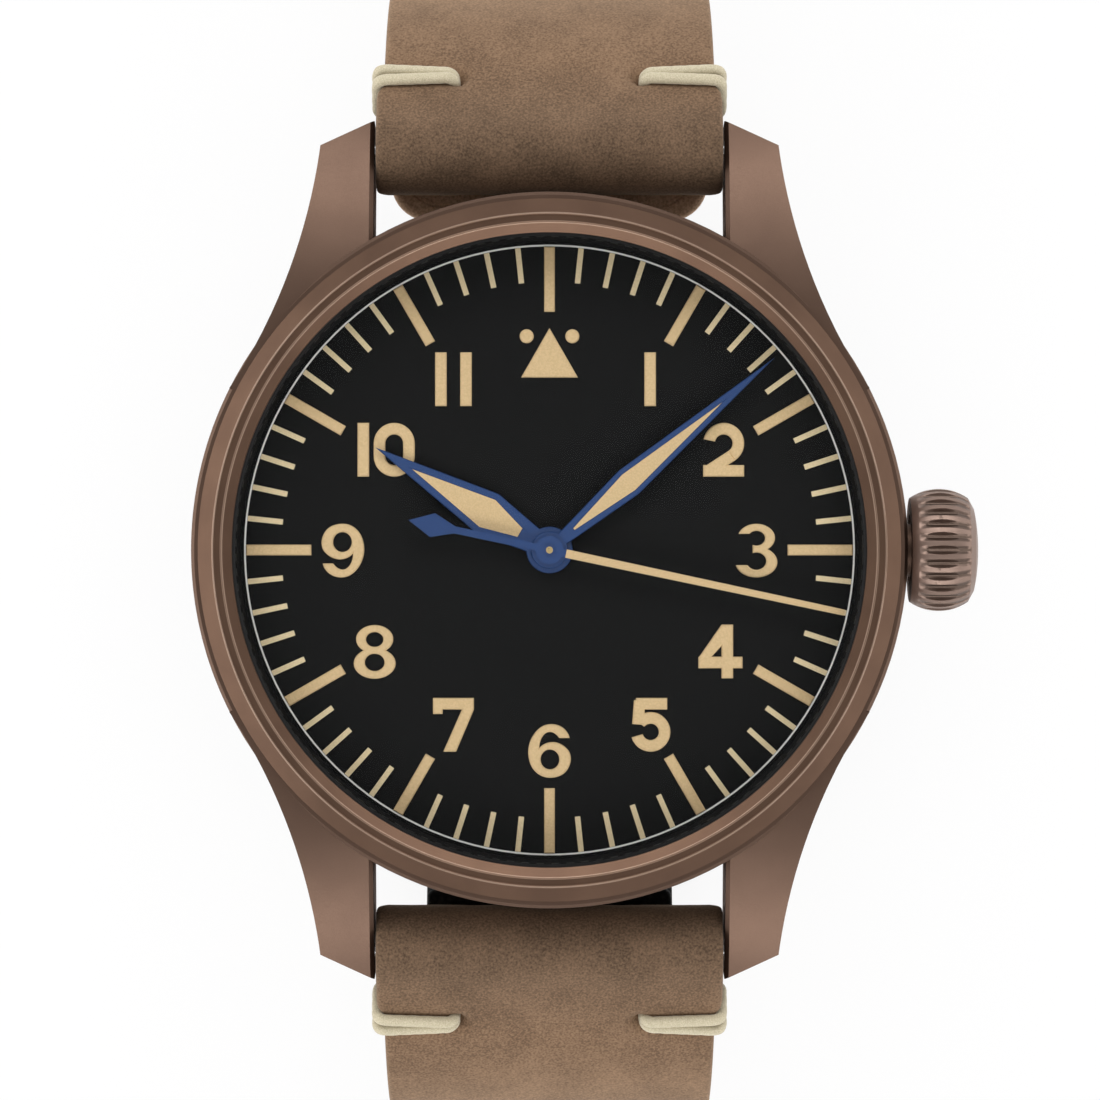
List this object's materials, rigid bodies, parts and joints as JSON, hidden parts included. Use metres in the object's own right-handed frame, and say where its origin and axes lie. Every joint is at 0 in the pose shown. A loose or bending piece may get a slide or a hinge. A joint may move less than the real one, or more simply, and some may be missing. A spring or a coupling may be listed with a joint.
{
  "type": "wristwatch",
  "caption": "Round pilot wristwatch with three hands, luminous markers and a fluted crown, on a closed two-piece leather strap with pin buckle and keepers.",
  "frame": {"origin": "centre of the case back's outer face", "axes": "+X to the crown at three o'clock, +Y to twelve o'clock, +Z out of the dial; the strap hangs closed below, towards -Z"},
  "size_m": [0.045, 0.0682, 0.0565],
  "materials": {
    "case_metal": "satin, bronze coloured",
    "bezel_metal": "polished, bronze coloured",
    "crown_metal": "satin, bronze coloured",
    "crystal": "clear, polished",
    "gasket": "matte",
    "inner_flange": "matte black",
    "dial": "matte black",
    "dial_print": "printed, pale",
    "lume": "matte, sand coloured",
    "hands": "blued",
    "plate_metal": "satin",
    "brass": "satin",
    "wheel_steel": "polished",
    "jewel": "polished, red",
    "screw_steel": "blued",
    "leather": "matte nubuck, brown",
    "lining_leather": "matte, black",
    "thread": "waxed, cream"
  },
  "bodies": {
    "case": {"case_middle": "case_metal", "case_back": "case_metal", "crown_tube": "case_metal", "bezel": "bezel_metal", "crystal": "crystal", "crystal_gasket": "gasket", "case_back_gasket": "gasket", "inner_flange": "inner_flange", "movement_ring": "plate_metal", "dial_plate": "dial", "minute_circle": "dial_print", "minute_ticks": "lume", "hour_batons": "lume", "dial_numerals": "lume", "dial_triangle": "lume", "main_plate": "plate_metal", "train_bridge": "plate_metal", "balance_cock": "plate_metal", "rotor_bearing": "wheel_steel", "jewels": "jewel", "movement_screws": "screw_steel", "strap_short_outer": "leather", "strap_long_outer": "leather", "strap_short_lining": "lining_leather", "strap_long_lining": "lining_leather", "stitches_twelve": "thread", "stitches_six": "thread", "bar_twelve_tube": "wheel_steel", "bar_six_tube": "wheel_steel", "bar_springs": "wheel_steel", "buckle_frame": "case_metal", "buckle_pin": "wheel_steel", "fixed_keeper": "leather"},
    "hour": {"hour_hand": "hands", "hour_hand_lume": "lume", "hour_wheel": "brass"},
    "minute": {"minute_hand": "hands", "minute_hand_lume": "lume", "cannon_pinion": "wheel_steel"},
    "seconds": {"second_hand": "hands", "second_hand_lume": "lume", "seconds_wheel": "brass"},
    "motion_wheel": {"minute_wheel": "brass"},
    "third": {"third_wheel": "brass"},
    "intermediate": {"intermediate_wheel": "brass"},
    "barrel": {"mainspring_barrel": "brass"},
    "escape": {"escape_wheel": "wheel_steel"},
    "fork": {"pallet_fork": "wheel_steel"},
    "balance": {"balance_wheel": "brass", "hairspring": "wheel_steel"},
    "rotor": {"rotor": "plate_metal"},
    "crown_carriage": {"crown_gasket": "gasket"},
    "crown": {"crown": "crown_metal", "winding_stem": "wheel_steel"},
    "tip_twelve_left": {"bar_twelve_tip_left": "wheel_steel"},
    "tip_twelve_right": {"bar_twelve_tip_right": "wheel_steel"},
    "tip_six_left": {"bar_six_tip_left": "wheel_steel"},
    "tip_six_right": {"bar_six_tip_right": "wheel_steel"},
    "tongue": {"buckle_tongue": "case_metal"},
    "sliding_keeper": {"sliding_keeper": "leather"}
  },
  "joints": [
    {"name": "minute_turn", "type": "hinge", "parent": "case", "child": "minute", "pos_m": [0, 0, 0.0075], "axis": [0, 0, -1], "continuous": true},
    {"name": "hour_turn", "type": "hinge", "parent": "case", "child": "hour", "pos_m": [0, 0, 0.0072], "axis": [0, 0, -1], "continuous": true},
    {"name": "motion_wheel_turn", "type": "hinge", "parent": "case", "child": "motion_wheel", "pos_m": [0.0024, 0, 0.0061], "axis": [0, 0, -1], "continuous": true},
    {"name": "seconds_turn", "type": "hinge", "parent": "case", "child": "seconds", "pos_m": [0, 0, 0.0078], "axis": [0, 0, -1], "continuous": true},
    {"name": "third_turn", "type": "hinge", "parent": "case", "child": "third", "pos_m": [-0.00297, 0.00171, 0.004], "axis": [0, 0, -1], "continuous": true},
    {"name": "intermediate_turn", "type": "hinge", "parent": "case", "child": "intermediate", "pos_m": [-0.00173, 0.00513, 0.004], "axis": [0, 0, -1], "continuous": true},
    {"name": "barrel_turn", "type": "hinge", "parent": "case", "child": "barrel", "pos_m": [0.00295, 0.00683, 0.004], "axis": [0, 0, -1], "continuous": true},
    {"name": "escape_turn", "type": "hinge", "parent": "case", "child": "escape", "pos_m": [0, -0.00311, 0.004], "axis": [0, 0, -1], "continuous": true},
    {"name": "fork_swing", "type": "hinge", "parent": "case", "child": "fork", "pos_m": [-0.00207, -0.00485, 0.0042], "axis": [0, 0, -1], "range_deg": [-5, 5]},
    {"name": "balance_swing", "type": "hinge", "parent": "case", "child": "balance", "pos_m": [-0.00513, -0.00742, 0.004], "axis": [0, 0, -1], "range_deg": [-135, 135], "stiffness_Nm_per_rad": 0.00000023, "deforming": ["hairspring"]},
    {"name": "rotor_turn", "type": "hinge", "parent": "case", "child": "rotor", "pos_m": [0, 0, 0.0015], "axis": [0, 0, -1], "continuous": true},
    {"name": "crown_pull", "type": "slide", "parent": "case", "child": "crown_carriage", "axis": [1, 0, 0], "range_m": [0, 0.0011]},
    {"name": "crown_turn", "type": "hinge", "parent": "crown_carriage", "child": "crown", "pos_m": [0.02062, 0, 0.0047], "axis": [1, 0, 0], "continuous": true},
    {"name": "twelve_bar_left_tip_press", "type": "slide", "parent": "case", "child": "tip_twelve_left", "axis": [1, 0, 0], "range_m": [0, 0.0011], "stiffness_N_per_m": 400, "springref_m": -0.0008, "deforming": ["bar_springs"]},
    {"name": "twelve_bar_right_tip_press", "type": "slide", "parent": "case", "child": "tip_twelve_right", "axis": [-1, 0, 0], "range_m": [0, 0.0011], "stiffness_N_per_m": 400, "springref_m": -0.0008, "deforming": ["bar_springs"]},
    {"name": "six_bar_left_tip_press", "type": "slide", "parent": "case", "child": "tip_six_left", "axis": [1, 0, 0], "range_m": [0, 0.0011], "stiffness_N_per_m": 400, "springref_m": -0.0008, "deforming": ["bar_springs"]},
    {"name": "six_bar_right_tip_press", "type": "slide", "parent": "case", "child": "tip_six_right", "axis": [-1, 0, 0], "range_m": [0, 0.0011], "stiffness_N_per_m": 400, "springref_m": -0.0008, "deforming": ["bar_springs"]},
    {"name": "tongue_turn", "type": "hinge", "parent": "case", "child": "tongue", "pos_m": [0, -0.011, -0.04044], "axis": [1, 0, 0], "range_deg": [0, 14]},
    {"name": "keeper_slide", "type": "slide", "parent": "case", "child": "sliding_keeper", "axis": [0, 1, 0], "range_m": [-0.005, 0.005]}
  ],
  "couplings": [
    {"joint": "hour_turn", "follows": "minute_turn", "ratio": 0.083333},
    {"joint": "motion_wheel_turn", "follows": "minute_turn", "ratio": -0.33333},
    {"joint": "third_turn", "follows": "seconds_turn", "ratio": -0.14286},
    {"joint": "intermediate_turn", "follows": "seconds_turn", "ratio": 0.017857},
    {"joint": "barrel_turn", "follows": "seconds_turn", "ratio": -0.0022321},
    {"joint": "escape_turn", "follows": "seconds_turn", "ratio": -10}
  ]
}
